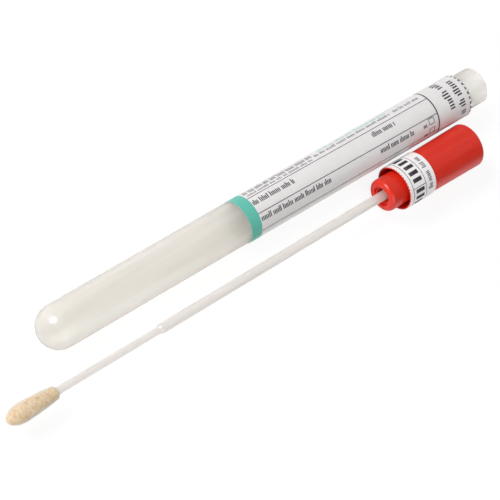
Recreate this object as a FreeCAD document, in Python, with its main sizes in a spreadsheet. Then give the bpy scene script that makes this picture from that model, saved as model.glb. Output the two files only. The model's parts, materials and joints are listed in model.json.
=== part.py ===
import FreeCAD, Part
import Sketcher
import math
import os

# A dry specimen swab and its tube, opened and laid side by side on a bench.
#
# The tube is one moulding: a round-ended body, a shoulder and a narrower neck, with one straight
# bore from the mouth to the rounded floor. A paper label is wrapped on it up to the shoulder. The
# cap is one moulding too: a grip with finger panels, a skirt that opens wider at its rim to go over
# the neck, and a plug that goes into the bore. A strip of the label, torn off along its perforation,
# stays on the skirt. The shaft is pressed into the cap's socket and carries the fibre bud.
#
# Frame: +X along both axes towards the tube's mouth, +Z up, the bench at z = 0, the origin at the
# middle of the bench face of the whole set's box. Lengths are millimetres, angles degrees.

os.makedirs("parts", exist_ok=True)
doc = FreeCAD.newDocument("specimen_swab_tube")

SIZES = [
    ("tube_length", "150", "closed end to mouth"),
    ("tube_floor", "1.3", "wall on the axis at the closed end"),
    ("bore_radius", "4.65", "inside, straight from the mouth to the rounded floor"),
    ("neck_length", "7.3", "shoulder to mouth"),
    ("neck_wall", "0.6", "bore to the outside of the neck"),
    ("shoulder_step", "0.83", "neck's outside to the shoulder's"),
    ("body_taper", "0.23", "radius lost from the shoulder to the round end"),
    ("shoulder_round", "0.45", "edge of the shoulder"),
    ("mouth_round", "0.18", "both edges of the mouth"),
    ("label_length", "80.1", "lower edge to the shoulder"),
    ("label_thickness", "0.1", "one ply of the label"),
    ("label_overlap", "28", "angle of the second ply"),
    ("label_overlap_from", "152", "angle where the second ply starts, from +Y over the top"),
    ("tear_teeth", "42", "teeth around a torn edge"),
    ("tear_depth", "0.3", "depth of a tooth"),
    ("neck_clearance", "0.1", "skirt's inside over the neck"),
    ("seal_bite", "0.03", "plug's radius over the bore's"),
    ("seat_clearance", "0.3", "mouth to the bottom of the cap's groove, when closed"),
    ("cap_length", "28.2", "skirt rim to closed end"),
    ("skirt_length", "9.5", "skirt rim to the grip"),
    ("skirt_wall", "0.88", "skirt's inside to its outside"),
    ("rim_wall", "0.32", "skirt's wall at its rim, where it opens wider"),
    ("rim_depth", "2", "rim to where the skirt fits the neck"),
    ("skirt_round", "0.15", "edges of the skirt rim"),
    ("grip_step", "0.14", "skirt's outside down to the grip beside it"),
    ("grip_flare", "0.28", "radius gained from the skirt to the closed end"),
    ("grip_round", "0.5", "edge of the closed end"),
    ("panel_count", "2", "sunk finger panels around the grip"),
    ("panel_angle", "27", "width of a panel"),
    ("panel_turn", "94.7", "middle of the first panel, from +Y over the top"),
    ("panel_length", "8.8", "panel's end back to where its floor comes out of the flare"),
    ("panel_end_gap", "2.8", "panels to the closed end"),
    ("panel_round", "1.1", "corners at a panel's end"),
    ("plug_reach", "5.1", "plug's nose past the skirt rim"),
    ("plug_round", "1.25", "outer edge of the plug's nose"),
    ("plug_mouth_step", "0.6", "well's wall to the first step inside the nose"),
    ("plug_mouth_depth", "0.8", "depth of the first step"),
    ("plug_mouth_round", "0.35", "inner edge of the nose"),
    ("well_gap", "0.84", "shaft to the well's wall"),
    ("well_depth", "9", "nose to the bottom of the well"),
    ("socket_depth", "8", "grip on the shaft, past the well"),
    ("band_thickness", "0.12", "label strip left on the skirt"),
    ("shaft_thin_end_radius", "1.02", "thin part, inside the bud"),
    ("shaft_thin_root_radius", "0.96", "thin part, beside the step"),
    ("shaft_thin_length", "44.5", "thin part"),
    ("shaft_step_length", "1.2", "cone from the thin part to the thick one"),
    ("shaft_mid_start_radius", "1.34", "thick part, beside the step"),
    ("shaft_mid_end_radius", "1.33", "thick part, beside the break line"),
    ("shaft_mid_length", "27.3", "step to break line"),
    ("shaft_top_start_radius", "1.34", "upper part, beside the break line"),
    ("shaft_top_end_radius", "1.31", "upper part, in the socket"),
    ("shaft_top_length", "65.2", "break line to the end in the socket"),
    ("break_depth", "0.1", "depth of the break line"),
    ("break_width", "0.5", "width of the break line"),
    ("bud_length", "14.8", "whole bud"),
    ("bud_radius", "2.55", "widest part of the bud"),
    ("bud_widest_at", "4.6", "far end of the bud to its widest part"),
    ("bud_neck_radius", "1.85", "bud where it rounds over to the shaft"),
    ("bud_neck_length", "1.1", "length of that rounding"),
    ("bud_cover", "2.4", "fibre past the end of the shaft"),
    ("lay_gap", "0.76", "free width between tube and cap"),
    ("lay_setback", "12.2", "cap's closed end short of the tube's mouth"),
]

dims = doc.addObject("Spreadsheet::Sheet", "dims")
for row, (alias, value, meaning) in enumerate(SIZES, start=1):
    dims.set("A%d" % row, meaning)
    dims.set("B%d" % row, value)
    dims.setAlias("B%d" % row, alias)
doc.recompute()


def number(expression):
    """The value of an expression in the sheet's names."""
    return float(dims.evalExpression(expression))


# Shares that limit a round or shape a curve. None of them is a size of its own.
PAIR_SHARE = 0.45  # of a wall or a panel's width, at most, to each of the two rounds on its end
STEP_SHARE = 0.8  # of the shoulder's step, at most, to its round
NOSE_OUTER_SHARE = 0.7  # of the plug's wall, at most, to the nose's outer round
NOSE_INNER_SHARE = 0.2  # of the plug's wall, at most, to the nose's inner round
NOTCH_SHARE = 0.9  # of a tooth's pitch to the notch, so that no two notches touch
BUD_END_FULLNESS = 1.9  # pull of the bud's far end straight out from the axis
BUD_SIDE_FULLNESS = 1.4  # pull of the bud's widest part along the axis
BUD_NECK_FULLNESS = 2  # pull of the bud's neck straight in to the shaft
CORE_SHARE = 0.5  # of the shaft's radius, where the bud's outline ends inside the shaft

CUTTER_MARGIN = 1.0  # reach of a cutter past the paper, inwards and outwards
SAME_PLACE = 1e-4  # two places nearer than this are one

# Sketcher's numbers for its own axes and for the points of an edge. The X axis starts at the origin.
X_AXIS_ID, Y_AXIS_ID = -1, -2
START_ID, FINISH_ID, CENTRE_ID = 1, 2, 3

# Lengths that several pieces share, as expressions in the sheet's names.
SHOULDER = "(dims.tube_length - dims.neck_length)"
NECK_RADIUS = "(dims.bore_radius + dims.neck_wall)"
SHOULDER_RADIUS = "(%s + dims.shoulder_step)" % NECK_RADIUS
END_RADIUS = "(%s - dims.body_taper)" % SHOULDER_RADIUS
LABEL_START = "(%s - dims.label_length)" % SHOULDER
LABEL_SLOPE = "(dims.body_taper / (%s - %s))" % (SHOULDER, END_RADIUS)
LABEL_START_RADIUS = "(%s - dims.label_length * %s)" % (SHOULDER_RADIUS, LABEL_SLOPE)
LABEL_RADIUS = "(%s + dims.label_thickness)" % SHOULDER_RADIUS
PLUG_RADIUS = "(dims.bore_radius + dims.seal_bite)"
GROOVE_RADIUS = "(%s + dims.neck_clearance)" % NECK_RADIUS
SKIRT_RADIUS = "(%s + dims.skirt_wall)" % GROOVE_RADIUS
RIM_RADIUS = "(%s - dims.rim_wall)" % SKIRT_RADIUS
WELL_RADIUS = "(dims.shaft_top_end_radius + dims.well_gap)"
PLUG_MOUTH_RADIUS = "(%s + dims.plug_mouth_step)" % WELL_RADIUS
GROOVE_FLOOR = "(dims.plug_reach + dims.neck_length + dims.seat_clearance)"
GRIP_START = "(dims.plug_reach + dims.skirt_length)"
CAP_END = "(dims.plug_reach + dims.cap_length)"
SOCKET_END = "(dims.well_depth + dims.socket_depth)"
GRIP_START_RADIUS = "(%s - dims.grip_step)" % SKIRT_RADIUS
GRIP_END_RADIUS = "(%s + dims.grip_flare)" % GRIP_START_RADIUS
GRIP_SLOPE = "(dims.grip_flare / (%s - %s))" % (CAP_END, GRIP_START)
PANEL_END = "(%s - dims.panel_end_gap)" % CAP_END
PANEL_START = "(%s - dims.panel_length)" % PANEL_END
PANEL_RADIUS = "(%s + (%s - %s) * %s)" % (GRIP_START_RADIUS, PANEL_START, GRIP_START, GRIP_SLOPE)
PANEL_WIDTH = "(%s * dims.panel_angle * pi / 180)" % PANEL_RADIUS
BAND_RADIUS = "(%s + dims.band_thickness)" % SKIRT_RADIUS
# The grip is widest on the round of its closed end, just inside the flare's own end.
GRIP_RADIUS = "(%s - dims.grip_round * (%s + sqrt(1 + %s ^ 2) - 1))" % (
    GRIP_END_RADIUS, GRIP_SLOPE, GRIP_SLOPE)
CAP_RADIUS = "max(%s; %s)" % (GRIP_RADIUS, BAND_RADIUS)
NOSE_WALL = "(%s - %s)" % (PLUG_RADIUS, PLUG_MOUTH_RADIUS)
HALF_BREAK = "dims.break_width / 2"
SHAFT_STEP = "dims.shaft_thin_length"
SHAFT_BREAK = "(dims.shaft_thin_length + dims.shaft_mid_length)"
SHAFT_LENGTH = "(dims.shaft_thin_length + dims.shaft_mid_length + dims.shaft_top_length)"

# Where the pieces lie. The cap's closed end is set back from the tube's mouth. Along X the set's box
# starts at the tube's round end or the bud, and ends at the tube's mouth or the cap's closed end.
SWAB_LENGTH = "(dims.bud_cover + %s - %s + %s)" % (SHAFT_LENGTH, SOCKET_END, CAP_END)
CAP_END_X = "(dims.tube_length - dims.lay_setback)"
LOW_X = "min(0; %s - %s)" % (CAP_END_X, SWAB_LENGTH)
HIGH_X = "max(dims.tube_length; %s)" % CAP_END_X
TUBE_X = "-(%s + %s) / 2" % (LOW_X, HIGH_X)
CAP_X = "%s + %s - %s" % (TUBE_X, CAP_END_X, CAP_END)
SHAFT_X = "%s + %s - %s" % (CAP_X, SOCKET_END, SHAFT_LENGTH)
HALF_WIDTH = "(%s + %s + dims.lay_gap / 2)" % (LABEL_RADIUS, CAP_RADIUS)
TUBE_Y = "%s - %s" % (HALF_WIDTH, LABEL_RADIUS)
SWAB_Y = "%s - %s" % (CAP_RADIUS, HALF_WIDTH)


def origin_plane(body, role):
    """One of a body's own origin planes, by its role."""
    return [feature for feature in body.Origin.OriginFeatures if feature.Role == role][0]


def new_body(name, x, y, z):
    """A body with its own label, laid on the bench at the given expressions."""
    body = doc.addObject("PartDesign::Body", name)
    body.Label = name
    for axis, expression in zip("xyz", (x, y, z)):
        body.setExpression("Placement.Base.%s" % axis, expression)
    return body


def new_sketch(body, name, turn="0"):
    """A sketch on the body's XY plane, turned about the X axis by an angle."""
    sketch = body.newObject("Sketcher::SketchObject", name)
    sketch.AttachmentSupport = [(origin_plane(body, "XY_Plane"), "")]
    sketch.MapMode = "FlatFace"
    sketch.AttachmentOffset = FreeCAD.Placement(
        FreeCAD.Vector(), FreeCAD.Rotation(FreeCAD.Vector(1, 0, 0), number(turn)))
    sketch.setExpression("AttachmentOffset.Rotation.Angle", turn)
    return sketch


def draw_outline(sketch, corners):
    """Draw a closed outline and tie each corner to its expressions.

    A corner is (along, radius), and (along, radius, "arc") where the edge that leaves it is a
    round with its centre on the axis.
    """
    spots = [FreeCAD.Vector(number(corner[0]), number(corner[1]), 0) for corner in corners]
    ends = []
    for index, corner in enumerate(corners):
        start = spots[index]
        finish = spots[(index + 1) % len(spots)]
        if len(corner) == 3:
            # The centre is the point of the axis as far from one end of the round as from the other.
            difference = finish.x ** 2 + finish.y ** 2 - start.x ** 2 - start.y ** 2
            centre = FreeCAD.Vector(difference / (2 * (finish.x - start.x)), 0, 0)
            angles = [math.atan2(spot.y, spot.x - centre.x) for spot in (start, finish)]
            circle = Part.Circle(centre, FreeCAD.Vector(0, 0, 1), (start - centre).Length)
            edge = sketch.addGeometry(Part.ArcOfCircle(circle, min(angles), max(angles)), False)
            sketch.addConstraint(Sketcher.Constraint("PointOnObject", edge, CENTRE_ID, X_AXIS_ID))
            forwards = angles[0] < angles[1]
            ends.append((edge, START_ID, FINISH_ID) if forwards else (edge, FINISH_ID, START_ID))
        else:
            edge = sketch.addGeometry(Part.LineSegment(start, finish), False)
            ends.append((edge, START_ID, FINISH_ID))
    for index, (edge, first, last) in enumerate(ends):
        following, following_first, _ = ends[(index + 1) % len(ends)]
        sketch.addConstraint(Sketcher.Constraint("Coincident", edge, last, following, following_first))
        along, radius = corners[index][:2]
        for axis, guide, expression in (("X", Y_AXIS_ID, along), ("Y", X_AXIS_ID, radius)):
            if expression == "0":
                sketch.addConstraint(Sketcher.Constraint("PointOnObject", edge, first, guide))
                continue
            place = sketch.addConstraint(Sketcher.Constraint(
                "Distance" + axis, X_AXIS_ID, START_ID, edge, first, number(expression)))
            sketch.setExpression("Constraints[%d]" % place, expression)


def revolve(body, name, corners, angle="360", turn="0"):
    """Turn an outline about the body's X axis, by an angle to both sides of its own plane."""
    sketch = new_sketch(body, name + "_outline", turn)
    draw_outline(sketch, corners)
    feature = body.newObject("PartDesign::Revolution", name)
    feature.Profile = sketch
    feature.ReferenceAxis = (sketch, ["H_Axis"])
    feature.Midplane = True
    feature.setExpression("Angle", angle)
    doc.recompute()
    return feature


def around(body, name, original, count):
    """Repeat a feature evenly around the body's X axis."""
    pattern = body.newObject("PartDesign::PolarPattern", name)
    pattern.Originals = [original]
    pattern.Axis = (origin_plane(body, "X_Axis"), [""])
    pattern.Angle = 360
    pattern.setExpression("Occurrences", count)
    body.Tip = pattern
    doc.recompute()


def fillet(body, name, names, radius):
    """Fillet the named edges of the body's tip."""
    base = body.Tip
    feature = body.newObject("PartDesign::Fillet", name)
    feature.Base = (base, names)
    feature.setExpression("Radius", radius)
    doc.recompute()


def round_corners(body, name, along, radius):
    """Fillet the short straight edges that point away from the X axis at one place along it."""
    place = number(along)
    names = []
    for index, edge in enumerate(body.Tip.Shape.Edges, start=1):
        straight = not edge.Degenerated and isinstance(edge.Curve, Part.Line)
        if straight and all(abs(spot.Point.x - place) < SAME_PLACE for spot in edge.Vertexes):
            names.append("Edge%d" % index)
    if not names:
        raise RuntimeError("%s: found no corners" % name)
    fillet(body, name, names, radius)


def round_edges(body, name, rings, radius):
    """Fillet the circular edges found at the given (along, radius) expressions."""
    base = body.Tip
    wanted = [(number(along), number(across)) for along, across in rings]
    names = []
    for index, edge in enumerate(base.Shape.Edges, start=1):
        if edge.Degenerated or not isinstance(edge.Curve, Part.Circle):
            continue
        here = (edge.Curve.Center.x, edge.Curve.Radius)
        if any(math.dist(here, ring) < SAME_PLACE for ring in wanted):
            names.append("Edge%d" % index)
    if len(names) < len(rings):
        raise RuntimeError("%s: found %d of %d edges" % (name, len(names), len(rings)))
    fillet(body, name, names, radius)


def cut(name, base, tool):
    """The base with the tool taken away, under a label of its own."""
    piece = doc.addObject("Part::Cut", name)
    piece.Label = name
    piece.Base = base
    piece.Tool = tool
    doc.recompute()
    return piece


def tear(sleeve, name, along, outward, radius):
    """The paper sleeve with one end torn along its perforation, as a zigzag of teeth.

    outward is 1 where that end faces +X of the sleeve and -1 where it faces -X.
    """
    teeth = int(number("dims.tear_teeth"))
    depth = number("dims.tear_depth")
    end = number(along)
    half_width = NOTCH_SHARE * math.pi * number(radius) / teeth
    section = [
        FreeCAD.Vector(end - outward * depth, 0, 0),
        FreeCAD.Vector(end, half_width, 0),
        FreeCAD.Vector(end + outward * depth, half_width, 0),
        FreeCAD.Vector(end + outward * depth, -half_width, 0),
        FreeCAD.Vector(end, -half_width, 0),
    ]
    section.append(section[0])
    foot = FreeCAD.Vector(0, 0, number(radius) - CUTTER_MARGIN)
    rise = FreeCAD.Vector(0, 0, 2 * CUTTER_MARGIN)
    notch = Part.Face(Part.makePolygon([spot + foot for spot in section])).extrude(rise)
    notches = []
    for tooth in range(teeth):
        copy = notch.copy()
        copy.rotate(FreeCAD.Vector(), FreeCAD.Vector(1, 0, 0), (tooth + 0.5) * 360 / teeth)
        notches.append(copy)
    cutter = doc.addObject("Part::Feature", name + "_perforation")
    cutter.Shape = Part.makeCompound(notches)
    for axis in "xyz":
        cutter.setExpression("Placement.Base.%s" % axis, "%s.Placement.Base.%s" % (sleeve.Name, axis))
    return cut(name, sleeve, cutter)


# Tube: one moulding. The body widens a little towards the shoulder, the bore is straight.
tube = new_body("tube", TUBE_X, TUBE_Y, LABEL_RADIUS)
revolve(tube, "tube_wall", [
    ("0", "0", "arc"),
    (END_RADIUS, END_RADIUS),
    (SHOULDER, SHOULDER_RADIUS),
    (SHOULDER, NECK_RADIUS),
    ("dims.tube_length", NECK_RADIUS),
    ("dims.tube_length", "dims.bore_radius"),
    ("(dims.tube_floor + dims.bore_radius)", "dims.bore_radius", "arc"),
    ("dims.tube_floor", "0"),
])
round_edges(tube, "shoulder_edge", [(SHOULDER, SHOULDER_RADIUS)],
            "min(dims.shoulder_round; %s * dims.shoulder_step)" % STEP_SHARE)
round_edges(tube, "mouth_edges", [
    ("dims.tube_length", NECK_RADIUS),
    ("dims.tube_length", "dims.bore_radius"),
], "min(dims.mouth_round; %s * dims.neck_wall)" % PAIR_SHARE)

# Label: a paper sleeve on the tube, with a second ply where its ends overlap.
label_sleeve = new_body("label_sleeve", TUBE_X, TUBE_Y, LABEL_RADIUS)


def paper_ply(plies):
    """The section of one ply, so many plies up from the tube."""
    inside = "(%d * dims.label_thickness)" % plies
    outside = "(%d * dims.label_thickness)" % (plies + 1)
    return [
        (LABEL_START, "(%s + %s)" % (LABEL_START_RADIUS, inside)),
        (SHOULDER, "(%s + %s)" % (SHOULDER_RADIUS, inside)),
        (SHOULDER, "(%s + %s)" % (SHOULDER_RADIUS, outside)),
        (LABEL_START, "(%s + %s)" % (LABEL_START_RADIUS, outside)),
    ]


revolve(label_sleeve, "first_ply", paper_ply(0))
revolve(label_sleeve, "second_ply", paper_ply(1), "dims.label_overlap",
        "(dims.label_overlap_from + dims.label_overlap / 2)")
tube_label = tear(label_sleeve, "tube_label", SHOULDER, 1, LABEL_RADIUS)

# Cap: one moulding. Grip, skirt, groove for the tube's neck, plug, and the well and socket inside.
cap_core = new_body("cap_core", CAP_X, SWAB_Y, CAP_RADIUS)
revolve(cap_core, "cap_section", [
    (SOCKET_END, "0"),
    (SOCKET_END, "dims.shaft_top_end_radius"),
    ("dims.well_depth", "dims.shaft_top_end_radius"),
    ("dims.well_depth", WELL_RADIUS),
    ("dims.plug_mouth_depth", WELL_RADIUS),
    ("dims.plug_mouth_depth", PLUG_MOUTH_RADIUS),
    ("0", PLUG_MOUTH_RADIUS),
    ("0", PLUG_RADIUS),
    (GROOVE_FLOOR, PLUG_RADIUS),
    (GROOVE_FLOOR, GROOVE_RADIUS),
    ("(dims.plug_reach + dims.rim_depth)", GROOVE_RADIUS),
    ("dims.plug_reach", RIM_RADIUS),
    ("dims.plug_reach", SKIRT_RADIUS),
    (GRIP_START, SKIRT_RADIUS),
    (GRIP_START, GRIP_START_RADIUS),
    (CAP_END, GRIP_END_RADIUS),
    (CAP_END, "0"),
])
round_edges(cap_core, "nose_edge", [("0", PLUG_RADIUS)],
            "min(dims.plug_round; %s * %s)" % (NOSE_OUTER_SHARE, NOSE_WALL))
round_edges(cap_core, "nose_mouth", [("0", PLUG_MOUTH_RADIUS)],
            "min(dims.plug_mouth_round; %s * %s)" % (NOSE_INNER_SHARE, NOSE_WALL))
round_edges(cap_core, "rim_edges", [
    ("dims.plug_reach", RIM_RADIUS),
    ("dims.plug_reach", SKIRT_RADIUS),
], "min(dims.skirt_round; %s * dims.rim_wall)" % PAIR_SHARE)
round_edges(cap_core, "grip_edge", [(CAP_END, GRIP_END_RADIUS)], "dims.grip_round")

# The grip's finger panels have straight floors, so they get deeper as the grip flares. Their cutter
# starts clear of the grip, halfway from the skirt to where a panel begins, and reaches past the flare.
CUTTER_START = "((%s + %s) / 2)" % (GRIP_START, PANEL_START)
CUTTER_RADIUS = "(%s + dims.grip_flare)" % GRIP_END_RADIUS
panel_cutter = new_body("panel_cutter", CAP_X, SWAB_Y, CAP_RADIUS)
panel = revolve(panel_cutter, "panel", [
    (CUTTER_START, PANEL_RADIUS),
    (PANEL_END, PANEL_RADIUS),
    (PANEL_END, CUTTER_RADIUS),
    (CUTTER_START, CUTTER_RADIUS),
], "dims.panel_angle", "dims.panel_turn")
around(panel_cutter, "panels", panel, "dims.panel_count")
round_corners(panel_cutter, "panel_corners", PANEL_END,
              "min(dims.panel_round; %s * %s)" % (PAIR_SHARE, PANEL_WIDTH))
cap = cut("cap", cap_core, panel_cutter)

# Cap band: the strip of the label that stays on the skirt, torn at the skirt's rim.
band_sleeve = new_body("band_sleeve", CAP_X, SWAB_Y, CAP_RADIUS)
revolve(band_sleeve, "band_ply", [
    ("dims.plug_reach", SKIRT_RADIUS),
    (GRIP_START, SKIRT_RADIUS),
    (GRIP_START, BAND_RADIUS),
    ("dims.plug_reach", BAND_RADIUS),
])
cap_band = tear(band_sleeve, "cap_band", "dims.plug_reach", -1, BAND_RADIUS)

# Shaft: one moulding, thin in the bud, thick above the step, with a break line to snap it at.
shaft = new_body("swab_shaft", SHAFT_X, SWAB_Y, CAP_RADIUS)
revolve(shaft, "shaft_section", [
    ("0", "0"),
    ("0", "dims.shaft_thin_end_radius"),
    ("(%s - dims.shaft_step_length)" % SHAFT_STEP, "dims.shaft_thin_root_radius"),
    (SHAFT_STEP, "dims.shaft_mid_start_radius"),
    ("(%s - %s)" % (SHAFT_BREAK, HALF_BREAK), "dims.shaft_mid_end_radius"),
    (SHAFT_BREAK, "(dims.shaft_mid_end_radius - dims.break_depth)"),
    ("(%s + %s)" % (SHAFT_BREAK, HALF_BREAK), "dims.shaft_top_start_radius"),
    ("(%s - dims.socket_depth)" % SHAFT_LENGTH, "dims.shaft_top_end_radius"),
    (SHAFT_LENGTH, "dims.shaft_top_end_radius"),
    (SHAFT_LENGTH, "0"),
])
doc.recompute()


def bud_shape():
    """The fibre bud, round its own X axis from its far end, with the shaft's place cut out."""
    length = number("dims.bud_length")
    widest = number("dims.bud_widest_at")
    rounding = length - number("dims.bud_neck_length")
    radius = number("dims.bud_radius")
    neck = number("dims.bud_neck_radius")
    core = CORE_SHARE * number("dims.shaft_thin_root_radius")
    nose = Part.BSplineCurve()
    nose.interpolate(
        Points=[FreeCAD.Vector(0, 0, 0), FreeCAD.Vector(widest, radius, 0)],
        Tangents=[
            FreeCAD.Vector(0, BUD_END_FULLNESS * radius, 0),
            FreeCAD.Vector(BUD_SIDE_FULLNESS * widest, 0, 0)],
        TangentFlags=[True, True])
    flank = Part.BSplineCurve()
    flank.interpolate(
        Points=[FreeCAD.Vector(widest, radius, 0), FreeCAD.Vector(rounding, neck, 0)],
        Tangents=[
            FreeCAD.Vector(rounding - widest, 0, 0),
            FreeCAD.Vector(rounding - widest, neck - radius, 0)],
        TangentFlags=[True, True])
    end = FreeCAD.Vector(length, core, 0)
    corner = Part.BSplineCurve()
    corner.interpolate(
        Points=[FreeCAD.Vector(rounding, neck, 0), end],
        Tangents=[
            FreeCAD.Vector(length - rounding, 0, 0),
            FreeCAD.Vector(0, BUD_NECK_FULLNESS * (core - neck), 0)],
        TangentFlags=[True, True])
    edges = [curve.toShape() for curve in (nose, flank, corner)]
    edges.append(Part.LineSegment(end, FreeCAD.Vector(length, 0, 0)).toShape())
    edges.append(Part.LineSegment(FreeCAD.Vector(length, 0, 0), FreeCAD.Vector(0, 0, 0)).toShape())
    face = Part.Face(Part.Wire(edges))
    solid = face.revolve(FreeCAD.Vector(0, 0, 0), FreeCAD.Vector(1, 0, 0), 360)
    core_shape = shaft.Shape.copy()
    core_shape.Placement = FreeCAD.Placement(
        FreeCAD.Vector(number("dims.bud_cover"), 0, 0), FreeCAD.Rotation())
    return solid.cut(core_shape)


swab_tip = doc.addObject("Part::Feature", "swab_tip")
swab_tip.Label = "swab_tip"
swab_tip.Shape = bud_shape()
swab_tip.setExpression("Placement.Base.x", "%s - dims.bud_cover" % SHAFT_X)
swab_tip.setExpression("Placement.Base.y", SWAB_Y)
swab_tip.setExpression("Placement.Base.z", CAP_RADIUS)
doc.recompute()

# Check every object, then write each piece.
for item in doc.Objects:
    if "Invalid" in item.State or "Error" in item.State:
        raise RuntimeError("%s failed: %s" % (item.Name, item.State))
for piece in (tube, tube_label, cap, cap_band, shaft, swab_tip):
    if piece.Shape.isNull() or not piece.Shape.isValid() or len(piece.Shape.Solids) != 1:
        raise RuntimeError("%s has no single valid solid" % piece.Label)
    piece.Shape.exportStep("parts/%s.step" % piece.Label)
    box = piece.Shape.BoundBox
    print("%-11s %9.2f mm3  x %.2f..%.2f  y %.2f..%.2f  z %.2f..%.2f" % (
        piece.Label, piece.Shape.Volume, box.XMin, box.XMax, box.YMin, box.YMax, box.ZMin, box.ZMax))
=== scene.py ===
import math
import random

import bmesh
import bpy
from mathutils import Matrix, Vector, noise
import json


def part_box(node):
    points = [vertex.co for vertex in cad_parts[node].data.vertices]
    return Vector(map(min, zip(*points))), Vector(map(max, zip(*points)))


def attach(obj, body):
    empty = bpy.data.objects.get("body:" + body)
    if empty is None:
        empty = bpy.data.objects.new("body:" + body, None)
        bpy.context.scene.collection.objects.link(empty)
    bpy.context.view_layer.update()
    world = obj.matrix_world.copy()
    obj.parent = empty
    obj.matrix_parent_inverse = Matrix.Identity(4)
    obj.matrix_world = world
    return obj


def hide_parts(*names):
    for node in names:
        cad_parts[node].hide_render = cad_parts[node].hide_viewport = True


# An opened specimen swab tube on a bench, with its cap and swab beside it.
# Lengths below are millimetres and angles degrees, turned to metres and radians where they are
# used. Angles around the tube and the cap start at +Y and go over the top.

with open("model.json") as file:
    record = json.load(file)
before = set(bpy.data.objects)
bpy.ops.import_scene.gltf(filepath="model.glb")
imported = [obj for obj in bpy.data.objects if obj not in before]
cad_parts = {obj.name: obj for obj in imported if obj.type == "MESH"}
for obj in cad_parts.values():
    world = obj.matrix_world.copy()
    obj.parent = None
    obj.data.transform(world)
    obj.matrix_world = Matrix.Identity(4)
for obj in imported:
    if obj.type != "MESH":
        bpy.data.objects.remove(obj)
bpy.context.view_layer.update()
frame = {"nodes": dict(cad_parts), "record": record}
MM = 0.001

# Where the pieces lie, from the frame.
LABEL_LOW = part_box("tube_label")[0]
BAND_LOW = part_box("cap_band")[0]
SHAFT_LOW, SHAFT_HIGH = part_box("swab_shaft")
BUD_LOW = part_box("swab_tip")[0]
MOUNTS = {mount["name"]: mount for mount in frame["record"]["mounts"]}
TUBE_AXIS = Vector((0, MOUNTS["mouth"]["pos_m"][1], MOUNTS["mouth"]["pos_m"][2]))
SWAB_AXIS = Vector((0, (SHAFT_LOW[1] + SHAFT_HIGH[1]) / 2, (SHAFT_LOW[2] + SHAFT_HIGH[2]) / 2))

# Tube: its plastic's faint streaks run along it, and this puts the dullest along its top as
# painted shade.
PAINTED_SHADE_SHIFT = 2.4

# Label: its radius at the shoulder, and what it loses towards its lower edge.
LABEL_RADIUS = 6.18
LABEL_FALL = 0.135
LABEL_LENGTH = 80.1
TEAR_DEPTH = 0.3  # depth of the teeth along its torn edge
BAND_RADIUS = 6.35

# Share of the light that the label's plain paper lets through, and that its inked teal edge does.
PAPER_SHINE_THROUGH, TEAL_SHINE_THROUGH = 0.2, 0.1
TEAL_INSIDE = 0.45  # how strongly the teal shows on the paper's inner face

# Print on the label, along it from its lower edge.
TEAL_WIDTH = 3.4
PRINT_SKEW = 0.107  # degrees gained for each millimetre along the label
RULE_START, RULE_END = 3.4, 67.5
RULE_WIDTH = 0.19
RING_WIDTH = 0.4
RULE_ANGLES = (50.3, 97.5, 145.0)
LAST_RULE_SKEW = 0.095  # the last rule stays clear of the second ply
DASH_PITCH, DASH_LENGTH, DASH_WIDTH = 1.47, 0.75, 0.32
DASHES_BEFORE = 20  # more than half a turn of dashes, so that none is counted below zero
INK_THICKNESS = 0.012
FACET_ANGLE = 3.0  # widest facet of a mark, around its cylinder
FACET_LENGTH = 3.0  # longest facet of a mark, along its cylinder

# Rows of small print: (start, end, angle at the label's lower edge, height of the tallest stroke).
CAPTION_ROWS = [
    (3.7, 17.7, 67.4, 1.6),
    (3.8, 27.9, 111.4, 1.6),
    (45.6, 54.0, 64.7, 1.6),
    (45.7, 58.2, 111.0, 1.6),
    (61.7, 63.0, 112.2, 1.3),
    (61.9, 63.2, 140.4, 1.3),
]
PALE_ROWS = [
    (28.0, 55.0, 33.3, 1.05),
    (56.6, 66.0, 31.6, 1.2),
    (4.2, 26.8, 40.6, 0.75),
    (4.0, 27.3, 24.2, 1.9),
]
TEAL_ROWS = [(30.2, 54.9, 18.5, 1.2)]
CHECK_BOXES = [(63.8, 65.8, 106.2, 1.85), (63.8, 65.8, 133.6, 1.85)]
CHECK_BOX_LINE = 0.17
# Rows round the tube: (middle, first angle, last angle, height along the tube).
LOT_ROWS = [(76.7, 43, 149, 2.3), (72.9, 24, 118, 2.3)]

# Strokes of each kind of row: (thickness, pitch, seed of their order).
CAPTION_STROKES = (0.29, 0.48, 1)
PALE_STROKES = (0.25, 0.46, 2)
TEAL_STROKES = (0.22, 0.46, 4)
LOT_STROKES = (0.46, 0.84, 5)
BAND_STROKES = (0.24, 0.45, 3)
# How the strokes of a row vary.
TALL_SHARE = 0.25  # of the strokes that take the row's full height
SHORT_HEIGHT = 0.72  # of the row's height, for the others
PITCH_RANGE = (0.92, 1.08)  # of the pitch
WORD_STROKES = (3, 8)  # fewest and most strokes in a word

# Print on the cap's band, along it from its torn edge.
BAND_RINGS = (1.3, 5.9)
BAND_BOLD_ROWS = [(3.6, -40, 113, 3.0), (3.6, 120.5, 196, 3.0)]
BAND_DIVIDER_ANGLE = 116.1
BAND_SMALL_ROWS = [(7.5, 46, 84, 1.55), (7.5, 92, 140, 1.55)]
BAND_RING_WIDTH = 0.17
BOLD_BLOCK, BOLD_PITCH = 1.15, 2.1

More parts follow.
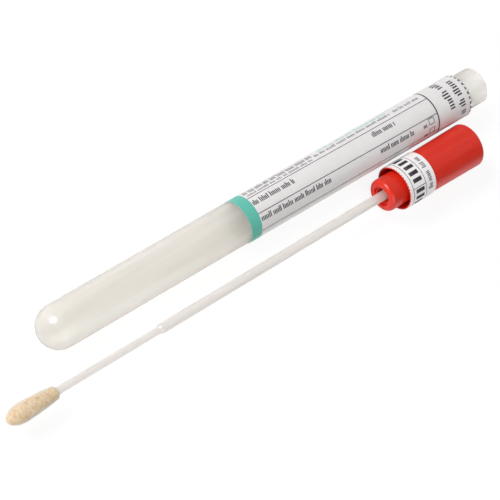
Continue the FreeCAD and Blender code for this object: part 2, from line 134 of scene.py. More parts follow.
# Bud: the same outline as its solid, its lumps, and the fibres wound on it.
BUD_LENGTH = 14.8
BUD_RADIUS = 2.55
BUD_WIDEST_AT = 4.6
BUD_END_POWER = 2.1  # how full its far end is
BUD_SIDE_POWER = 1.6  # how slowly it starts to narrow towards the shaft
BUD_NECK_RADIUS = 1.85
BUD_NECK_LENGTH = 1.1
BUD_BORE_RADIUS = 1.0
BUD_FACETS = 72  # along it and around it
BUD_LUMP_HEIGHT = 0.09
BUD_LUMP_SIZE = 0.8
FINE_LUMP_RATIO, FINE_LUMP_SHARE = 2.5, 0.5  # how much smaller the finer lumps are, and lower
BUD_LUMP_SINK = 0.6  # of a lump's height, so that few rise past the outline
SAME_PLACE = 1e-4  # points nearer than this are one
FIBRE_COUNT = 1200
FIBRE_THICKNESS = 0.02  # about a real fibre's
FIBRE_START_CLEAR, FIBRE_START_STOP = 0.35, 0.5  # from the bud's two ends to where one starts
FIBRE_CLEAR, FIBRE_STOP = 0.2, 0.3  # from the bud's two ends to any point of one
FIBRE_SWEEP = (25, 70)  # angle that one winds through, either way
FIBRE_DRIFT = 1.3  # most that one runs along the bud, either way
FIBRE_LIFT = 0.2  # most that its ends stand off
FIBRE_SINK = 0.02  # its middle lies this deep in the mass
FIBRE_POINTS = 4
FIBRE_SEED = 11

# Shaft: its steps and its parts, as (start, end, radius at the start, radius at the end).
STEP_LENGTH = 1.2
STEP_AT, BREAK_AT = 44.5, 71.8
SHAFT_FREE_END = 117.6  # the parting line ends here, short of the cap
SHAFT_PARTS = [
    (0.0, STEP_AT - STEP_LENGTH, 1.02, 0.96),
    (STEP_AT - STEP_LENGTH, STEP_AT, 0.96, 1.34),
    (STEP_AT, BREAK_AT, 1.34, 1.33),
    (BREAK_AT, SHAFT_FREE_END, 1.34, 1.31),
]
# The parting line of its mould, and the small marks beside its two steps.
PARTING_WIDTH = 0.14
PARTING_HEIGHT = 0.035
PARTING_CREST = 0.35  # of its width, left at its top
PARTING_ANGLE = 128
PARTING_GAP = 0.6  # from the line's ends to the step and the break line
PIN_MARKS_AT = (STEP_AT - 0.5, BREAK_AT + 0.9)
PIN_MARK_RADIUS = 0.31
PIN_MARK_ANGLE = 69
PIN_MARK_LEAN = 26  # towards the bud, as the cone of the step leans
PIN_MARK_FLATNESS = 0.35
PIN_MARK_FACETS = (20, 12)  # around it and from pole to pole

# Stage: how far the bench's own white hides its shadows, and how far a gloss mirrors white.
BENCH_WHITENESS = 0.8
WHITE_MIRRORED = 0.25
BENCH_REACH = 4.0  # metres, from its middle to its edges
BENCH_GLOW = 1.1  # where 1 is white
ROOM_LIGHT = 0.1  # what the room itself gives the object

# Lamps, a tent of soft boxes, in metres and watts: name, direction it stands in, side and power.
LAMP_DISTANCE = 0.9
LAMPS = [
    ("key", (-0.48, 0.61, 0.63), 0.35, 7.0),
    ("front", (-0.3, -0.9, 0.5), 0.9, 4.2),
    ("back", (0.3, 0.9, 0.35), 0.9, 0.5),
    ("right", (0.9, 0.1, 0.45), 0.9, 1.4),
    ("left", (-0.95, 0.0, 0.3), 0.6, 1.1),
]

# Camera: where it looks, from which side, and how it is turned about its own line of sight.
CAMERA_TARGET = Vector((-4.27, -0.98, 6.45)) * MM
CAMERA_DISTANCE = 469.2
CAMERA_ELEVATION = 61.07
CAMERA_AZIMUTH = -1.95
CAMERA_ROLL = -61.6
CAMERA_SENSOR = 36.0
CAMERA_LENS = 132.05


# ---- colours and nodes

def hex_colour(code):
    """An sRGB hex colour as linear RGBA."""
    channels = [int(code[place:place + 2], 16) / 255 for place in (1, 3, 5)]
    linear = [c / 12.92 if c <= 0.04045 else ((c + 0.055) / 1.055) ** 2.4 for c in channels]
    return (*linear, 1.0)


def per_metre(size):
    """The scale of a pattern whose features are so many millimetres wide."""
    return 1 / (size * MM)


def add_node(tree, kind, inputs=None, output=0, **settings):
    """Add a node with its settings, and set or link its inputs. Gives one output, if any."""
    node = tree.nodes.new("ShaderNode" + kind)
    for name, value in settings.items():
        setattr(node, name, value)
    for name, value in (inputs or {}).items():
        if isinstance(value, bpy.types.NodeSocket):
            tree.links.new(value, node.inputs[name])
        else:
            node.inputs[name].default_value = value
    return node.outputs[output] if node.outputs else None


def start_material(name):
    """A bare material and its tree."""
    material = bpy.data.materials.new(name)
    material.use_nodes = True
    material.node_tree.nodes.clear()
    return material, material.node_tree


def clouded(tree, place, size, first, second, detail=2.0, roughness=0.5, low=0.0, high=1.0):
    """A colour that drifts between two in clouds of a size in millimetres.

    It is wholly the first where the noise is at low, and wholly the second at high.
    """
    cloud = add_node(tree, "TexNoise", {
        "Vector": place, "Scale": per_metre(size), "Detail": detail, "Roughness": roughness})
    share = add_node(tree, "MapRange", {"Value": cloud, "From Min": low, "From Max": high})
    return add_node(tree, "Mix", {0: share, 6: first, 7: second}, 2, data_type="RGBA")


def outlined(tree, colour, outline, low, high):
    """A colour that turns to another towards its outline, where the surface is seen edge on."""
    facing = add_node(tree, "LayerWeight", {"Blend": 0.5}, "Facing")
    share = add_node(tree, "MapRange", {"Value": facing, "From Min": low, "From Max": high})
    return add_node(tree, "Mix", {0: share, 6: colour, 7: outline}, 2, data_type="RGBA")


def overprinted_and_shaded(tree, colour, inks_and_shade):
    """A colour with inks and painted shade laid over it in turn, each where its mask is 1."""
    for mask, code in inks_and_shade:
        colour = add_node(
            tree, "Mix", {0: mask, 6: colour, 7: hex_colour(code)}, 2, data_type="RGBA")
    return colour


def bumps(tree, place, size, depth, detail=2.0):
    """A normal from noise of a given feature size and depth, in millimetres."""
    height = add_node(tree, "TexNoise", {
        "Vector": place, "Scale": per_metre(size), "Detail": detail})
    return add_node(tree, "Bump", {"Height": height, "Strength": 1.0, "Distance": depth * MM})


# ---- materials

def milky(tree, colour, normal, clarity, haze, gloss):
    """Milky see-through plastic: part clear but hazy, part scattering, under a glossy skin."""
    # Painted shade: its outline is dulled, for the light lost on the longer way through the wall.
    colour = outlined(tree, colour, hex_colour("#D4CFCA"), 0.45, 0.95)
    skin = {"Base Color": colour, "Roughness": haze, "IOR": 1.49, "Coat Weight": gloss,
            "Coat Roughness": 0.3, "Coat IOR": 1.49, "Normal": normal}
    clear = add_node(tree, "BsdfPrincipled", {**skin, "Transmission Weight": 1.0})
    back = add_node(tree, "BsdfPrincipled", skin)
    through = add_node(tree, "BsdfTranslucent", {"Color": colour, "Normal": normal})
    # Of the light that it scatters, a little more goes on through than comes back.
    scatter = add_node(tree, "MixShader", {0: 0.6, 1: back, 2: through})
    body = add_node(tree, "MixShader", {0: clarity, 1: scatter, 2: clear})
    # Lamps shine through it too, so its inside is lit and its shadow is pale.
    shadow = add_node(tree, "LightPath", output="Is Shadow Ray")
    share = add_node(tree, "Math", {0: shadow, 1: clarity}, operation="MULTIPLY")
    passing = add_node(tree, "BsdfTransparent", {"Color": colour})
    return add_node(tree, "MixShader", {0: share, 1: body, 2: passing})


def natural_polypropylene():
    """Natural polypropylene, injection moulded: milky, see-through, with a soft gloss."""
    material, tree = start_material("natural_polypropylene")
    place = add_node(tree, "TexCoord", output="Object")
    # The melt ran from the gate along the tube, so its faint clouds are long and narrow.
    # The shift lays the dullest streak along the top: painted shade over the faint real streaks.
    stretched = add_node(tree, "Mapping", {
        "Vector": place, "Location": (0.0, PAINTED_SHADE_SHIFT * MM, 0.0), "Scale": (0.05, 1.0, 1.0)})
    colour = clouded(tree, stretched, 5.0, hex_colour("#EBE8E3"), hex_colour("#F8F7F4"),
                     low=0.35, high=0.65)
    normal = bumps(tree, stretched, 1.6, 0.0015)
    surface = milky(tree, colour, normal, clarity=0.64, haze=0.27, gloss=0.2)
    add_node(tree, "OutputMaterial", {"Surface": surface})
    return material


def natural_shaft_plastic():
    """Natural polypropylene rod, moulded: milky, with a satin skin and faint lengthwise flow."""
    material, tree = start_material("natural_shaft_plastic")
    place = add_node(tree, "TexCoord", output="Object")
    # The melt ran along the rod, so its flow lines are far longer than they are wide.
    stretched = add_node(tree, "Mapping", {"Vector": place, "Scale": (0.02, 1.0, 1.0)})
    colour = clouded(tree, stretched, 0.9, hex_colour("#E8E4E0"), hex_colour("#F0EDEB"))
    normal = bumps(tree, stretched, 0.9, 0.001)
    surface = milky(tree, colour, normal, clarity=0.45, haze=0.35, gloss=0.0)
    add_node(tree, "OutputMaterial", {"Surface": surface})
    return material


def polished_pin_plastic():
    """Where a pin of the mould stood: the rod's plastic again, but polished like the pin."""
    material, tree = start_material("polished_pin_plastic")
    place = add_node(tree, "TexCoord", output="Object")
    colour = clouded(tree, place, 0.3, hex_colour("#F4F1ED"), hex_colour("#FCFAF8"), detail=1.0)
    surface = add_node(tree, "BsdfPrincipled", {
        "Base Color": colour, "Roughness": 0.12, "IOR": 1.49})
    add_node(tree, "OutputMaterial", {"Surface": surface})
    return material


def red_polyethylene():
    """Red polyethylene, injection moulded: deep colour under a soft gloss."""
    material, tree = start_material("red_polyethylene")
    place = add_node(tree, "TexCoord", output="Object")
    colour = clouded(tree, place, 4.0, hex_colour("#D92815"), hex_colour("#E22E1A"))
    surface = add_node(tree, "BsdfPrincipled", {
        "Base Color": colour, "Roughness": 0.3, "IOR": 1.51, "Subsurface Weight": 0.12,
        "Subsurface Radius": (1.0, 0.2, 0.1), "Subsurface Scale": 0.6 * MM,
        "Normal": bumps(tree, place, 1.8, 0.008)})
    add_node(tree, "OutputMaterial", {"Surface": surface})
    return material


def white_paper(tree, place):
    """White paper stock, with the slight unevenness of its fibre."""
    return clouded(tree, place, 2.5, hex_colour("#F6F3F3"), hex_colour("#FCFAFA"), detail=3.0)


def coated_paper(tree, colour, place, passed_on):
    """Coated label paper: smooth, a little sheen, fine fibre under the coating."""
    # Single paper fibres are too fine to show, so the bumps are as wide as their flocs.
    coated = add_node(tree, "BsdfPrincipled", {
        "Base Color": colour, "Roughness": 0.46, "IOR": 1.47, "Coat Weight": 0.12,
        "Coat Roughness": 0.3, "Normal": bumps(tree, place, 0.35, 0.004)})
    through = add_node(tree, "BsdfTranslucent", {"Color": colour})
    return add_node(tree, "MixShader", {0: passed_on, 1: coated, 2: through})


def tube_label_paper():
    """Coated label paper, printed: a teal edge and a ring rule; the perforation's slots are
    painted shade.
    """
    material, tree = start_material("tube_label_paper")
    place = add_node(tree, "TexCoord", output="Object")
    normal = add_node(tree, "TexCoord", output="Normal")
    # Measured along the tube from the label's lower edge, and across and up from its axis.
    start = Vector((LABEL_LOW[0], TUBE_AXIS.y, TUBE_AXIS.z))
    measured = add_node(tree, "VectorMath", {0: place, 1: start}, operation="SUBTRACT")
    along, across, up = add_node(tree, "SeparateXYZ", {0: measured}).node.outputs

    # Only the outer face is printed; on the inner face the teal shows through the paper.
    outward = add_node(tree, "VectorMath", {0: measured, 1: normal}, "Value",
                       operation="DOT_PRODUCT")
    outside = add_node(tree, "Math", {0: outward, 1: 0.0}, operation="GREATER_THAN")
    strength = add_node(tree, "Math", {0: outside, 1: TEAL_INSIDE}, operation="MAXIMUM")
    edge = add_node(tree, "Math", {0: along, 1: TEAL_WIDTH * MM}, operation="LESS_THAN")
    teal = add_node(tree, "Math", {0: edge, 1: strength}, operation="MULTIPLY")
    ring = add_node(tree, "Math", {
        0: along, 1: RULE_END * MM, 2: RING_WIDTH * MM / 2}, operation="COMPARE")

    # The perforation's slots, as dark dashes: painted shade where the cut paper shows the dark
    # below.
    angle = add_node(tree, "Math", {0: up, 1: across}, operation="ARCTAN2")
    arc = add_node(tree, "Math", {
        0: angle, 1: LABEL_RADIUS * MM, 2: DASHES_BEFORE * DASH_PITCH * MM},
        operation="MULTIPLY_ADD")
    step = add_node(tree, "Math", {0: arc, 1: DASH_PITCH * MM}, operation="MODULO")
    in_slot = add_node(tree, "Math", {0: step, 1: DASH_LENGTH * MM}, operation="LESS_THAN")
    dashes_start = LABEL_LENGTH - TEAR_DEPTH - DASH_WIDTH
    torn = add_node(tree, "Math", {0: along, 1: dashes_start * MM}, operation="GREATER_THAN")
    slot_shade = add_node(tree, "Math", {0: in_slot, 1: torn}, operation="MULTIPLY")

    colour = overprinted_and_shaded(tree, white_paper(tree, place), (
        (teal, "#68C8B6"), (ring, "#2F2D33"), (slot_shade, "#3E3C42")))
    passed_on = add_node(tree, "Math", {
        0: edge, 1: TEAL_SHINE_THROUGH - PAPER_SHINE_THROUGH, 2: PAPER_SHINE_THROUGH},
        operation="MULTIPLY_ADD")
    surface = coated_paper(tree, colour, place, passed_on)
    add_node(tree, "OutputMaterial", {"Surface": surface})
    return material


def cap_band_paper():
    """Coated label paper, printed: two ring rules. The cap behind it lets no light through."""
    material, tree = start_material("cap_band_paper")
    place = add_node(tree, "TexCoord", output="Object")
    along = add_node(tree, "SeparateXYZ", {0: place}, "X")
    rings = [add_node(tree, "Math", {
        0: along, 1: BAND_LOW[0] + ring * MM, 2: BAND_RING_WIDTH * MM / 2}, operation="COMPARE")
        for ring in BAND_RINGS]
    colour = overprinted_and_shaded(tree, white_paper(tree, place), [(ring, "#3C3A40") for ring in rings])
    surface = coated_paper(tree, colour, place, passed_on=0.0)
    add_node(tree, "OutputMaterial", {"Surface": surface})
    return material


def ink(name, code):
    """Matt printing ink on coated paper: flat colour, a little paler where it lies thin."""
    material, tree = start_material(name)
    place = add_node(tree, "TexCoord", output="Object")
    full = hex_colour(code)
    thin = tuple(1.25 * channel for channel in full[:3]) + (1.0,)
    colour = clouded(tree, place, 0.4, full, thin, detail=1.0)
    surface = add_node(tree, "BsdfPrincipled", {
        "Base Color": colour, "Roughness": 0.55, "IOR": 1.5})
    add_node(tree, "OutputMaterial", {"Surface": surface})
    return material


def wound_fibre():
    """The bud's wound fibre, seen as a mass: matt, mottled cream with tan hollows."""
    material, tree = start_material("wound_fibre")
    place = add_node(tree, "TexCoord", output="Object")
    colour = clouded(tree, place, 1.1, hex_colour("#D8B481"), hex_colour("#EEDDC2"),
                     detail=4.0, roughness=0.62, low=0.32, high=0.7)
    # Paler where seen edge on: partly the pale loose ends over the tan mass, partly painted sheen.
    colour = outlined(tree, colour, hex_colour("#E0D7CA"), 0.3, 0.56)
    # Its bumps are small tufts. Single fibres are pieces of their own, where they can be seen.
    surface = add_node(tree, "BsdfPrincipled", {
        "Base Color": colour, "Roughness": 0.9, "IOR": 1.5, "Sheen Weight": 0.5,
        "Sheen Roughness": 0.4, "Subsurface Weight": 0.5, "Subsurface Radius": (1.0, 0.8, 0.6),
        "Subsurface Scale": 1.5 * MM, "Normal": bumps(tree, place, 0.3, 0.03, detail=4.0)})
    add_node(tree, "OutputMaterial", {"Surface": surface})
    return material


def loose_fibre():
    """Single fibres that stand off the bud: pale, and they let light through."""
    material, tree = start_material("loose_fibre")
    place = add_node(tree, "TexCoord", output="Object")
    colour = clouded(tree, place, 0.5, hex_colour("#F3E6D0"), hex_colour("#FCF8F0"), detail=1.0)
    surface = add_node(tree, "BsdfPrincipled", {
        "Base Color": colour, "Roughness": 0.7, "IOR": 1.5, "Transmission Weight": 0.3,
        "Sheen Weight": 0.3})
    add_node(tree, "OutputMaterial", {"Surface": surface})
    return material


# ---- pieces

def put_in_order(parts, key):
    """Renumber a bmesh's points or its faces by a key of each."""
    ranks = {part: rank for rank, part in enumerate(sorted(parts, key=key))}
    parts.sort(key=ranks.get)
    parts.index_update()


def finish_piece(mesh_builder, name, material):
    """Turn a finished bmesh into a smooth-shaded piece of the object."""
    # Blender makes the faces of a turned form in an order that changes from run to run.
    put_in_order(mesh_builder.verts, lambda vertex: vertex.co[:])
    put_in_order(mesh_builder.faces, lambda face: sorted(corner.index for corner in face.verts))
    mesh = bpy.data.meshes.new(name)
    mesh_builder.to_mesh(mesh)
    mesh_builder.free()
    for face in mesh.polygons:
        face.use_smooth = True
    mesh.materials.append(material)
    piece = bpy.data.objects.new(name, mesh)
    bpy.context.scene.collection.objects.link(piece)
    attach(piece, "root")
    return piece


def on_cylinder(axis, start, along, angle, radius):
    """The point of a cylinder along X at a distance from its start and an angle, in metres."""
    turn = math.radians(angle)
    return Vector((start + along * MM, axis.y + radius * MM * math.cos(turn),
                   axis.z + radius * MM * math.sin(turn)))


def label_radius(along):
    """The label's outer radius at a distance from its lower edge."""
    return LABEL_RADIUS - LABEL_FALL * (1 - along / LABEL_LENGTH)


def degrees_of(arc, radius):
    """The angle that an arc takes on a cylinder."""
    return math.degrees(arc / radius)


def lay_mark(builder, axis, start, radius_at, along, angles, skew=0.0):
    """Add one flat printed mark, bent on to its cylinder as a thin closed slab.

    along is its (first, last) distance and angles its (first, last) angle.
    """
    turns = max(1, math.ceil(abs(angles[1] - angles[0]) / FACET_ANGLE))
    lengths = max(1, math.ceil((along[1] - along[0]) / FACET_LENGTH))
    made = bmesh.ops.create_grid(builder, x_segments=lengths, y_segments=turns, size=0.5)["verts"]
    faces = list(dict.fromkeys(face for vertex in made for face in vertex.link_faces))
    slab = bmesh.ops.solidify(builder, geom=faces, thickness=-1.0)["geom"]
    corners = set(made) | {item for item in slab if isinstance(item, bmesh.types.BMVert)}
    for vertex in corners:
        distance = along[0] + (vertex.co.x + 0.5) * (along[1] - along[0])
        angle = angles[0] + (vertex.co.y + 0.5) * (angles[1] - angles[0]) + skew * distance
        lift = INK_THICKNESS if abs(vertex.co.z) > 0.5 else 0.0
        vertex.co = on_cylinder(axis, start, distance, angle, radius_at(distance) + lift)


def label_mark(builder, along, angles, skew=PRINT_SKEW):
    """Add a mark to the print on the tube's label."""
    lay_mark(builder, TUBE_AXIS, LABEL_LOW[0], label_radius, along, angles, skew)


def band_mark(builder, along, angles):
    """Add a mark to the print on the cap's band."""
    lay_mark(builder, SWAB_AXIS, BAND_LOW[0], lambda distance: BAND_RADIUS, along, angles)


def stroke_row(first, last, height, dice, thickness, pitch):
    """Upright strokes that stand in for a row of print: the (place, height) of each.

    They gather in words, and most of them are at small-letter height.
    """
    strokes = []
    place = first
    left = dice.randint(*WORD_STROKES)
    while place + thickness <= last:
        strokes.append((place, height if dice.random() < TALL_SHARE else SHORT_HEIGHT * height))
        place += pitch * dice.uniform(*PITCH_RANGE)
        left -= 1
        if left == 0:
            place += pitch
            left = dice.randint(*WORD_STROKES)
    return strokes


def label_rows(name, rows, strokes, material):
    """Rows of print along the label, each stroke upright across it."""
    builder = bmesh.new()
    thickness, pitch, seed = strokes
    dice = random.Random(seed)
    for first, last, middle, height in rows:
        foot = middle + degrees_of(height / 2, LABEL_RADIUS)
        for place, rise in stroke_row(first, last, height, dice, thickness, pitch):
            label_mark(builder, (place, place + thickness),
                       (foot - degrees_of(rise, LABEL_RADIUS), foot))
    return finish_piece(builder, name, material)


def label_rules(material):
    """The three long rules and the outlines of the two check boxes."""
    builder = bmesh.new()
    half = degrees_of(RULE_WIDTH / 2, LABEL_RADIUS)
    for angle, skew in zip(RULE_ANGLES, (PRINT_SKEW, PRINT_SKEW, LAST_RULE_SKEW)):
        start = angle - skew * RULE_START
        label_mark(builder, (RULE_START, RULE_END), (start - half, start + half), skew)
    line = CHECK_BOX_LINE
    thin = degrees_of(line, LABEL_RADIUS)
    for first, last, angle, height in CHECK_BOXES:
        top = angle - PRINT_SKEW * first
        low = top + degrees_of(height, LABEL_RADIUS)
        label_mark(builder, (first, last), (top, top + thin))
        label_mark(builder, (first, last), (low - thin, low))
        label_mark(builder, (first, first + line), (top + thin, low - thin))
        label_mark(builder, (last - line, last), (top + thin, low - thin))
    return finish_piece(builder, "label_rules", material)


def lot_rows(material):
    """Two rows of bold strokes round the label, near the neck."""
    builder = bmesh.new()
    thickness, pitch, seed = LOT_STROKES
    dice = random.Random(seed)
    for middle, first, last, height in LOT_ROWS:
        start, end = (math.radians(angle) * LABEL_RADIUS for angle in (first, last))
        foot = middle + height / 2
        for place, rise in stroke_row(start, end, height, dice, thickness, pitch):
            angles = (degrees_of(place, LABEL_RADIUS), degrees_of(place + thickness, LABEL_RADIUS))
            label_mark(builder, (foot - rise, foot), angles, skew=0.0)
    return finish_piece(builder, "lot_rows", material)


def band_print(material):
    """The band's two bold rows of plain blocks, its divider and its two rows of small strokes."""
    builder = bmesh.new()
    thickness, pitch, seed = BAND_STROKES
    dice = random.Random(seed)

    def block(low, high, first, last):
        band_mark(builder, (low, high),
                  (degrees_of(first, BAND_RADIUS), degrees_of(last, BAND_RADIUS)))

    for middle, first, last, height in BAND_BOLD_ROWS:
        place, end = (math.radians(angle) * BAND_RADIUS for angle in (first, last))
        while place + BOLD_BLOCK <= end:
            block(middle - height / 2, middle + height / 2, place, place + BOLD_BLOCK)
            place += BOLD_PITCH
    for middle, first, last, height in BAND_SMALL_ROWS:
        start, end = (math.radians(angle) * BAND_RADIUS for angle in (first, last))
        foot = middle + height / 2
        for place, rise in stroke_row(start, end, height, dice, thickness, pitch):
            block(foot - rise, foot, place, place + thickness)
    half = BAND_RING_WIDTH / 2
    divider = math.radians(BAND_DIVIDER_ANGLE) * BAND_RADIUS
    block(*BAND_RINGS, divider - half, divider + half)
    return finish_piece(builder, "band_print", material)


def bud_profile(along):
    """The bud's radius at a distance from its far end."""
    rounding = BUD_LENGTH - BUD_NECK_LENGTH
    if along <= BUD_WIDEST_AT:
        share = along / BUD_WIDEST_AT
        return BUD_RADIUS * math.sqrt(max(0.0, 1 - (1 - share) ** BUD_END_POWER))
    if along <= rounding:
        share = (along - BUD_WIDEST_AT) / (rounding - BUD_WIDEST_AT)
        return BUD_RADIUS - (BUD_RADIUS - BUD_NECK_RADIUS) * share ** BUD_SIDE_POWER
    share = (along - rounding) / BUD_NECK_LENGTH
    lip = math.sqrt(max(0.0, 1 - share ** 2))
    return BUD_BORE_RADIUS + (BUD_NECK_RADIUS - BUD_BORE_RADIUS) * lip


def bud_core(material):
    """The wound mass of the bud: a turned form, then small lumps along its normals."""
    builder = bmesh.new()
    outline = []
    for step in range(BUD_FACETS + 1):
        # Points crowd towards both ends, where the outline turns fastest.
        along = BUD_LENGTH * (1 - math.cos(math.pi * step / BUD_FACETS)) / 2
        spot = on_cylinder(SWAB_AXIS, BUD_LOW[0], along, 90, bud_profile(along))
        outline.append(builder.verts.new(spot))
    outline.append(builder.verts.new(on_cylinder(SWAB_AXIS, BUD_LOW[0], BUD_LENGTH, 90, 0)))
    edges = [builder.edges.new(pair) for pair in zip(outline, outline[1:])]
    bmesh.ops.spin(builder, geom=outline + edges, cent=SWAB_AXIS, axis=(1, 0, 0), angle=math.tau,
                   steps=BUD_FACETS, use_merge=True)
    bmesh.ops.remove_doubles(builder, verts=builder.verts, dist=SAME_PLACE * MM)
    bmesh.ops.recalc_face_normals(builder, faces=builder.faces)
    builder.normal_update()
    for vertex in builder.verts:
        lump = noise.noise(vertex.co * per_metre(BUD_LUMP_SIZE))
        lump += FINE_LUMP_SHARE * noise.noise(
            vertex.co * per_metre(BUD_LUMP_SIZE / FINE_LUMP_RATIO))
        vertex.co += vertex.normal * BUD_LUMP_HEIGHT * MM * (lump - BUD_LUMP_SINK)
    core = finish_piece(builder, "bud_core", material)
    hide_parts("swab_tip")
    return core


def bud_fibres(material):
    """Single fibres, wound round the bud at a slant, with ends that lift a little."""
    dice = random.Random(FIBRE_SEED)
    curve = bpy.data.curves.new("bud_fibres", "CURVE")
    curve.dimensions = "3D"
    curve.bevel_depth = FIBRE_THICKNESS * MM / 2
    curve.bevel_resolution = 0
    curve.resolution_u = 2
    curve.use_fill_caps = True
    for _ in range(FIBRE_COUNT):
        along = dice.uniform(FIBRE_START_CLEAR, BUD_LENGTH - FIBRE_START_STOP)
        angle = dice.uniform(0, 360)
        sweep = dice.uniform(*FIBRE_SWEEP) * dice.choice((-1, 1))
        drift = dice.uniform(-FIBRE_DRIFT, FIBRE_DRIFT)
        lift = FIBRE_LIFT * dice.random() ** 2
        spline = curve.splines.new("NURBS")
        spline.points.add(FIBRE_POINTS - 1)
        for index, point in enumerate(spline.points):
            share = index / (FIBRE_POINTS - 1)
            distance = min(max(along + drift * share, FIBRE_CLEAR), BUD_LENGTH - FIBRE_STOP)
            off = lift * abs(2 * share - 1) ** 2 - FIBRE_SINK
            spot = on_cylinder(SWAB_AXIS, BUD_LOW[0], distance, angle + sweep * share,
                               bud_profile(distance) + off)
            point.co = (*spot, 1.0)
        spline.order_u = 3
        spline.use_endpoint_u = True
    holder = bpy.data.objects.new("fibre_curves", curve)
    bpy.context.scene.collection.objects.link(holder)
    bpy.context.view_layer.update()
    wound = holder.evaluated_get(bpy.context.evaluated_depsgraph_get())
    mesh = bpy.data.meshes.new_from_object(wound)
    bpy.data.objects.remove(holder)
    builder = bmesh.new()
    builder.from_mesh(mesh)
    bmesh.ops.recalc_face_normals(builder, faces=builder.faces)
    return finish_piece(builder, "bud_fibres", material)


def shaft_radius(along):
    """The shaft's radius at a distance from its end in the bud."""
    first, last, start, end = next(
        (part for part in SHAFT_PARTS if along <= part[1]), SHAFT_PARTS[-1])
    return start + (end - start) * (along - first) / (last - first)


def parting_line(material):
    """The fine ridge that the mould's halves leave along the thick parts of the shaft."""
    builder = bmesh.new()
    foot = degrees_of(PARTING_WIDTH / 2, shaft_radius(BREAK_AT))
    for first, last in ((STEP_AT + PARTING_GAP, BREAK_AT - PARTING_GAP),
                        (BREAK_AT + PARTING_GAP, SHAFT_FREE_END)):
        for vertex in bmesh.ops.create_cube(builder, size=1.0)["verts"]:
            distance = first + (vertex.co.x + 0.5) * (last - first)
            raised = vertex.co.z > 0
            half = foot * (PARTING_CREST if raised else 1.0)
            lift = PARTING_HEIGHT if raised else -PARTING_HEIGHT
            vertex.co = on_cylinder(
                SWAB_AXIS, SHAFT_LOW[0], distance, PARTING_ANGLE - 2 * half * vertex.co.y,
                shaft_radius(distance) + lift)
    bmesh.ops.recalc_face_normals(builder, faces=builder.faces)
    return finish_piece(builder, "shaft_parting_line", material)


def pin_marks(material):
    """The two small smooth marks that the mould's pins leave beside the steps of the shaft."""
    builder = bmesh.new()
    turn, lean = math.radians(PIN_MARK_ANGLE), math.radians(PIN_MARK_LEAN)
    facing = Vector((
        -math.sin(lean), math.cos(lean) * math.cos(turn), math.cos(lean) * math.sin(turn)))
    tilt = facing.to_track_quat("Z", "Y").to_matrix().to_4x4()
    flatten = Matrix.Diagonal((1, 1, PIN_MARK_FLATNESS, 1))
    around, rings = PIN_MARK_FACETS
    for along in PIN_MARKS_AT:
        centre = on_cylinder(
            SWAB_AXIS, SHAFT_LOW[0], along, PIN_MARK_ANGLE, shaft_radius(along))
        bmesh.ops.create_uvsphere(
            builder, u_segments=around, v_segments=rings, radius=PIN_MARK_RADIUS * MM,
            matrix=Matrix.Translation(centre) @ tilt @ flatten)
    return finish_piece(builder, "shaft_pin_marks", material)


# ---- stage

def share_seen(tree, to_camera):
    """How far a surface shows as plain white: to the camera, in a gloss and through plastic."""
    rays = add_node(tree, "LightPath").node.outputs
    direct = add_node(tree, "Math", {0: rays["Is Camera Ray"], 1: to_camera},
                      operation="MULTIPLY")
    mirrored = add_node(tree, "Math", {0: rays["Is Glossy Ray"], 1: WHITE_MIRRORED},
                        operation="MULTIPLY")
    either = add_node(tree, "Math", {0: direct, 1: mirrored}, operation="MAXIMUM")
    return add_node(tree, "Math", {0: either, 1: rays["Is Transmission Ray"]},
                    operation="MAXIMUM")


def bench():
    """A plain white bench that shows as white to the camera and keeps the object's shadow."""
    builder = bmesh.new()
    bmesh.ops.create_grid(builder, x_segments=1, y_segments=1, size=BENCH_REACH)
    mesh = bpy.data.meshes.new("bench")
    builder.to_mesh(mesh)
    builder.free()
    material, tree = start_material("white_bench")
    board = add_node(tree, "BsdfDiffuse", {"Color": hex_colour("#F2F2F2")})
    white = add_node(tree, "Emission", {"Strength": BENCH_GLOW})
    seen = share_seen(tree, BENCH_WHITENESS)
    surface = add_node(tree, "MixShader", {0: seen, 1: board, 2: white})
    add_node(tree, "OutputMaterial", {"Surface": surface})
    mesh.materials.append(material)
    top = bpy.data.objects.new("bench", mesh)
    bpy.context.scene.collection.objects.link(top)


def room():
    """An even pale world, seen as plain white."""
    world = bpy.data.worlds.new("room")
    world.use_nodes = True
    tree = world.node_tree
    tree.nodes.clear()
    strength = add_node(tree, "Math", {0: share_seen(tree, 1.0), 1: ROOM_LIGHT},
                        operation="MAXIMUM")
    shine = add_node(tree, "Background", {"Color": hex_colour("#FFFFFF"), "Strength": strength})
    add_node(tree, "OutputWorld", {"Surface": shine})
    bpy.context.scene.world = world


def soft_lamp(name, direction, size, watts):
    """A square soft box that looks at the object from a direction."""
    light = bpy.data.lights.new(name, "AREA")
    light.shape = "SQUARE"
    light.size = size
    light.energy = watts
    lamp = bpy.data.objects.new(name, light)
    lamp.location = CAMERA_TARGET + Vector(direction).normalized() * LAMP_DISTANCE
    lamp.rotation_euler = (CAMERA_TARGET - lamp.location).to_track_quat("-Z", "Y").to_euler()
    bpy.context.scene.collection.objects.link(lamp)


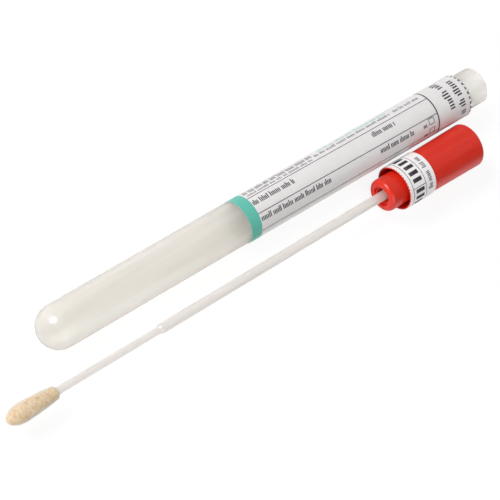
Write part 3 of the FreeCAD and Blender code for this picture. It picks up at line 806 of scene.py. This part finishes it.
def camera():
    """The camera, placed about its target by its distance, elevation, azimuth and roll."""
    elevation = math.radians(CAMERA_ELEVATION)
    azimuth = math.radians(CAMERA_AZIMUTH)
    sight = Vector((math.cos(elevation) * math.cos(azimuth),
                    math.cos(elevation) * math.sin(azimuth), -math.sin(elevation)))
    level = sight.cross(Vector((0, 0, 1))).normalized()
    right = Matrix.Rotation(math.radians(CAMERA_ROLL), 3, sight) @ level
    up = right.cross(sight)
    turn = Matrix((right, up, -sight)).transposed().to_4x4()
    data = bpy.data.cameras.new("camera")
    data.sensor_width = CAMERA_SENSOR
    data.lens = CAMERA_LENS
    eye = bpy.data.objects.new("camera", data)
    eye.matrix_world = Matrix.Translation(CAMERA_TARGET - sight * CAMERA_DISTANCE * MM) @ turn
    bpy.context.scene.collection.objects.link(eye)
    bpy.context.scene.camera = eye


def dress_node(node, material):
    """Give a CAD node its finish."""
    for slot in frame["nodes"][node].material_slots:
        slot.material = material


def dress_object():
    """Finish the CAD nodes, and add the pieces that ride with them."""
    shaft_plastic = natural_shaft_plastic()
    dress_node("tube", natural_polypropylene())
    dress_node("tube_label", tube_label_paper())
    dress_node("cap", red_polyethylene())
    dress_node("cap_band", cap_band_paper())
    dress_node("swab_shaft", shaft_plastic)
    dark = ink("dark_label_ink", "#312F35")
    pale = ink("pale_label_ink", "#6A676F")
    teal = ink("teal_label_ink", "#8FCFC2")
    label_rules(dark)
    label_rows("caption_rows", CAPTION_ROWS, CAPTION_STROKES, dark)
    label_rows("pale_rows", PALE_ROWS, PALE_STROKES, pale)
    label_rows("teal_rows", TEAL_ROWS, TEAL_STROKES, teal)
    lot_rows(ink("lot_ink", "#3A383E"))
    band_print(ink("band_ink", "#2B292E"))
    bud_core(wound_fibre())
    bud_fibres(loose_fibre())
    parting_line(shaft_plastic)
    pin_marks(polished_pin_plastic())


def set_stage():
    """Bench, room, lamps and camera."""
    bench()
    room()
    for lamp in LAMPS:
        soft_lamp(*lamp)
    camera()
    bpy.context.scene.view_settings.view_transform = "Standard"


def write_sizes():
    import json


dress_object()
set_stage()
write_sizes()
